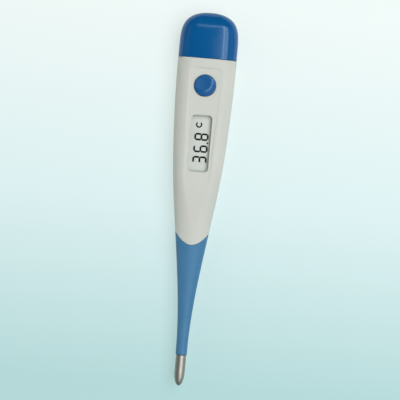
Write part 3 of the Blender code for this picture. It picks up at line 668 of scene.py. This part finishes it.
# ---------------------------------------------------------------- display
# Reading direction is +X and the tops of the digits face +Y.
LCD_TOP = 9.05
SEGMENT = 0.65
DIGIT_WIDE, DIGIT_TALL = 2.55, 4.90
DIGIT_BASE = -2.78
DIGITS = ((75.62, "abgcd"), (79.38, "afgecd"), (83.42, "abcdefg"))    # station of the left edge, lit segments
POINT_AT, POINT_Y, POINT_RADIUS = 82.72, -2.52, 0.30
LETTER_AT, LETTER_Y, LETTER_RADIUS, LETTER_HALF = 88.78, 0.83, 0.84, 0.25
DEGREE_AT, DEGREE_Y, DEGREE_RADIUS, DEGREE_HALF = 86.95, 1.75, 0.26, 0.08


def skin_polariser():
    layers = [(9.8, 4.0, 8.35), (9.8, 4.0, LCD_TOP - 0.05), (9.75, 3.95, LCD_TOP)]
    film = stacked("skin_polariser", layers, (float(along(82.7)), 0.0), LCD, 0.15, steps=3)
    place(film, "chassis", ["lcd_polariser"])


def bar(x0, y0, x1, y1):
    """Six-sided segment between two points."""
    shorten, tip_cut = 0.07, 0.22
    a, b = np.array([x0, y0]), np.array([x1, y1])
    d = (b - a) / np.linalg.norm(b - a)
    n = np.array([-d[1], d[0]]) * SEGMENT / 2
    a, b = a + d * shorten, b - d * shorten
    return [a, a + d * tip_cut + n, b - d * tip_cut + n, b, b - d * tip_cut - n, a + d * tip_cut - n]


def digit_bars(station):
    """Segments a to g of a digit whose left edge is at a station."""
    left = float(along(station)) + SEGMENT / 2
    right = left + DIGIT_WIDE - SEGMENT
    low = DIGIT_BASE + SEGMENT / 2
    high = low + DIGIT_TALL - SEGMENT
    mid = (low + high) / 2
    return {"a": (left, high, right, high), "b": (right, mid, right, high), "c": (right, low, right, mid),
            "d": (left, low, right, low), "e": (left, low, left, mid), "f": (left, mid, left, high),
            "g": (left, mid, right, mid)}


def arc_band(station, y, radius, half, first, last, parts):
    """Open curved band, as one outline."""
    x = float(along(station))
    angles = np.radians(np.linspace(first, last, parts + 1))
    outer, inner = radius + half, radius - half
    outer_edge = [(x + outer * math.cos(a), y + outer * math.sin(a)) for a in angles]
    inner_edge = [(x + inner * math.cos(a), y + inner * math.sin(a)) for a in angles[::-1]]
    return outer_edge + inner_edge


def flat_piece(name, outlines, mat, rise_from, rise_to):
    """Thin prisms on the display's face, riding the chassis."""
    verts, faces = [], []
    for outline in outlines:
        start, n = len(verts), len(outline)
        verts += [(p[0], p[1], LCD_TOP + rise_from) for p in outline]
        verts += [(p[0], p[1], LCD_TOP + rise_to) for p in outline]
        faces.append(tuple(range(start, start + n)))
        faces.append(tuple(range(start + n, start + 2 * n)))
        band(faces, start, start + n, n)
    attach(mesh_object(name, verts, faces, mat, smooth=False), "chassis")


def display_marks():
    lit, unlit = [], []
    for station, on in DIGITS:
        for key, ends in digit_bars(station).items():
            (lit if key in on else unlit).append(bar(*ends))
    x = float(along(POINT_AT))
    lit.append([(x + POINT_RADIUS * math.cos(a), POINT_Y + POINT_RADIUS * math.sin(a))
                for a in np.arange(12) * math.pi / 6])
    lit.append(arc_band(LETTER_AT, LETTER_Y, LETTER_RADIUS, LETTER_HALF, 40, 320, 20))
    degree = arc_band(DEGREE_AT, DEGREE_Y, DEGREE_RADIUS, DEGREE_HALF, 0, 350, 16)
    flat_piece("lcd_digits", lit, INK, 0.01, 0.03)
    flat_piece("lcd_digits_off", unlit, GHOST, 0.005, 0.015)
    flat_piece("lcd_degree", [degree], GHOST, 0.005, 0.02)


# ---------------------------------------------------------------- leads
LEAD_RADIUS = 0.15
LEAD_SIDES = 10
LEAD_HIGH, LEAD_LOOSE, LEAD_LOW = 76.6, 58.5, 2.65    # board end, end of the slack part, thermistor end


def lead_piece(name, high, low, amplitude=0.0):
    """Both leads between two stations; the amplitude is that of the slack's waves."""
    verts, faces = [], []
    for side in (1.0, -1.0):
        run = np.linspace(high, low, 28 if amplitude else 14)
        start = len(verts)
        for s in run:
            x = float(along(s))
            spread = 0.40 + max(s - 60.0, 0.0) ** 1.3 * 0.055
            wave = amplitude * math.sin((s - low) / (high - low) * 4 * math.pi)
            y = side * spread + wave * 0.4
            z = MID_Z - 0.05 * max(s - 62, 0) / 5 + wave
            for i in range(LEAD_SIDES):
                angle = 2 * math.pi * i / LEAD_SIDES
                verts.append((x, y + LEAD_RADIUS * math.cos(angle), z + LEAD_RADIUS * math.sin(angle)))
        last = start + (len(run) - 1) * LEAD_SIDES
        for first in range(start, last, LEAD_SIDES):
            band(faces, first, first + LEAD_SIDES, LEAD_SIDES)
        faces.append(tuple(start + i for i in range(LEAD_SIDES)))
        faces.append(tuple(last + i for i in range(LEAD_SIDES)))
    ob = mesh_object(name, verts, faces, WIRE_ENAMEL, sharp=60.0)
    return ob


def leads():
    slack = lead_piece("leads_slack", LEAD_HIGH, LEAD_LOOSE, amplitude=0.35)
    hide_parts("lead_wire_a", "lead_wire_b")
    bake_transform(slack)
    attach(lead_piece("leads_root", LEAD_LOOSE, CUTS[0]), "housing")
    for number in range(1, len(HINGES) + 1):
        bend_over_hinge(lead_piece("leads_" + str(number), CUTS[number - 1], CUTS[number]), number)
    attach(lead_piece("leads_end", CUTS[-1], LEAD_LOW), "stem_link_6")


skin_housing()
skin_lens()
skin_button()
skin_cover()
skin_seal()
skin_stem_root()
for hinge_number in range(1, len(HINGES) + 1):
    skin_stem_bend(hinge_number)
skin_stem_end()
skin_probe_tip()
skin_polariser()
display_marks()
leads()

# ---------------------------------------------------------------- finishes of the carried-over pieces
FINISHES = (
    (CHASSIS, ("chassis", "lcd_holder", "switch_plunger")),
    (BOARD_GREEN, ("circuit_board",)),
    (EPOXY, ("chip_epoxy", "thermistor")),
    (AMBER, ("tip_potting",)),
    (CERAMIC_TAN, ("capacitor_1", "capacitor_2")),
    (CERAMIC_WHITE, ("sounder_ceramic",)),
    (BLACK, ("reference_resistor", "switch_body", "cell_gasket")),
    (FOIL, ("lcd_reflector",)),
    (GLASS, ("lcd_rear_glass", "lcd_front_glass")),
    (RUBBER, ("zebra_strip",)),
    (BRASS, ("sounder_plate", "contact_positive", "contact_negative")),
    (NICKEL, ("sounder_spring_1", "sounder_spring_2", "cell_can", "cell_cup")),
)
for finish, nodes in FINISHES:
    for node in nodes:
        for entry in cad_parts[node].material_slots:
            entry.material = finish

# ---------------------------------------------------------------- floor
# A pale light table: it glows a little, which keeps the shadow faint.
FLOOR_REACH = 0.065              # metres from the middle, where the ramp along X ends
FLOOR_HALF = 1.5                 # metres
FLOOR_Z = -0.0001
FLOOR_GLOW = 0.73
FLOOR_SHARE = 0.285              # of the glow's colour, for the floor's own colour
FLOOR_COLOURS = ((0.47, 0.70, 0.69), (0.737, 0.879, 0.879), (0.88, 0.95, 0.92))


def floor_material():
    made = Recipe("floor_pale", Specular_IOR_Level=0.05, Roughness=0.9, Emission_Strength=FLOOR_GLOW)
    position = made.nodes.new("ShaderNodeSeparateXYZ")
    made.links.new(made.coords, position.inputs[0])
    share = made.nodes.new("ShaderNodeMapRange")
    share.inputs["From Min"].default_value = -FLOOR_REACH
    share.inputs["From Max"].default_value = FLOOR_REACH
    made.links.new(position.outputs["X"], share.inputs["Value"])
    glow = made.ramp(share.outputs["Result"], FLOOR_COLOURS[0], FLOOR_COLOURS[2], 0.0, 1.0)
    glow.node.color_ramp.elements.new(0.5).color = (*FLOOR_COLOURS[1], 1.0)
    made.links.new(glow, made.shader.inputs["Emission Color"])
    dim = made.nodes.new("ShaderNodeVectorMath")
    dim.operation = "SCALE"
    dim.inputs["Scale"].default_value = FLOOR_SHARE
    made.links.new(glow, dim.inputs[0])
    made.links.new(dim.outputs["Vector"], made.shader.inputs["Base Color"])
    return made.mat


floor_corners = [(x * FLOOR_HALF, y * FLOOR_HALF, FLOOR_Z) for x, y in ((-1, -1), (1, -1), (1, 1), (-1, 1))]
floor_mesh = bpy.data.meshes.new("floor")
floor_mesh.from_pydata(floor_corners, [], [(0, 1, 2, 3)])
floor_mesh.materials.append(floor_material())
floor_object = link(bpy.data.objects.new("floor", floor_mesh))

# ---------------------------------------------------------------- light
LIGHT_TARGET = Vector((0.02, 0, 0))
NEAR, FAR = 0.75, 0.9            # metres
COOL = (0.94, 1.0, 1.05)


def softbox(name, tilt_side, tilt_end, distance, size, radiance, colour, in_reflections=True):
    """Area light of a radiance. Tilts are degrees from straight above, towards -Y and towards +X; its size is
    given across Y and along X, in metres."""
    light = bpy.data.lights.new(name, "AREA")
    light.shape = "RECTANGLE"
    light.size, light.size_y = size
    light.energy = radiance * math.pi * size[0] * size[1]
    light.color = colour
    ob = link(bpy.data.objects.new(name, light))
    slope_end, slope_side = math.tan(math.radians(tilt_end)), math.tan(math.radians(tilt_side))
    direction = Vector((slope_end, -slope_side, 1.0)).normalized()
    across = direction.cross(Vector((1, 0, 0))).normalized()
    turn = Matrix((across, direction.cross(across), direction)).transposed()
    ob.matrix_world = Matrix.Translation(LIGHT_TARGET + direction * distance) @ turn.to_4x4()
    ob.visible_glossy = in_reflections


softbox("key_right", 27, 5, NEAR, (0.40, 1.0), 3.38, COOL)
softbox("key_inner", 10, 5, NEAR, (0.06, 1.0), 6.4, COOL)
softbox("key_edge", 6, 2, NEAR, (0.045, 0.8), 1.6, COOL)
softbox("top_end", 10, 37, NEAR, (0.36, 0.09), 2.3, (0.92, 1.0, 1.06))
softbox("fill_left", -55, 0, FAR, (0.8, 1.2), 0.66, (1.0, 1.0, 0.93), in_reflections=False)
softbox("rim_left", -62, 0, FAR, (0.6, 1.2), 0.22, (0.9, 1.0, 1.1))
softbox("fill_right", 66, 0, FAR, (0.5, 1.2), 0.35, (1.0, 1.0, 1.0))
world = bpy.data.worlds.new("studio")
world.use_nodes = True
background = world.node_tree.nodes["Background"]
background.inputs["Color"].default_value = (0.80, 0.90, 0.92, 1.0)
background.inputs["Strength"].default_value = 0.10
bpy.context.scene.world = world
bpy.context.scene.view_settings.view_transform = "Standard"

# ---------------------------------------------------------------- camera
ROLL = math.radians(5.10)
FRAME_WIDE = 135.8               # millimetres across the picture, at the height of the long axis
CAMERA_PLACE = (-0.00009, -0.00173, 0.85)
camera = bpy.data.cameras.new("camera")
camera.sensor_width = 36.0
camera.lens = camera.sensor_width * (CAMERA_PLACE[2] / MM - MID_Z) / FRAME_WIDE
camera.clip_start = 0.01
camera_object = link(bpy.data.objects.new("camera", camera))
right = Vector((math.sin(ROLL), -math.cos(ROLL), 0.0))
up = Vector((math.cos(ROLL), math.sin(ROLL), 0.0))
camera_turn = Matrix((right, up, Vector((0, 0, 1)))).transposed()
camera_object.matrix_world = Matrix.Translation(CAMERA_PLACE) @ camera_turn.to_4x4()
bpy.context.scene.camera = camera_object
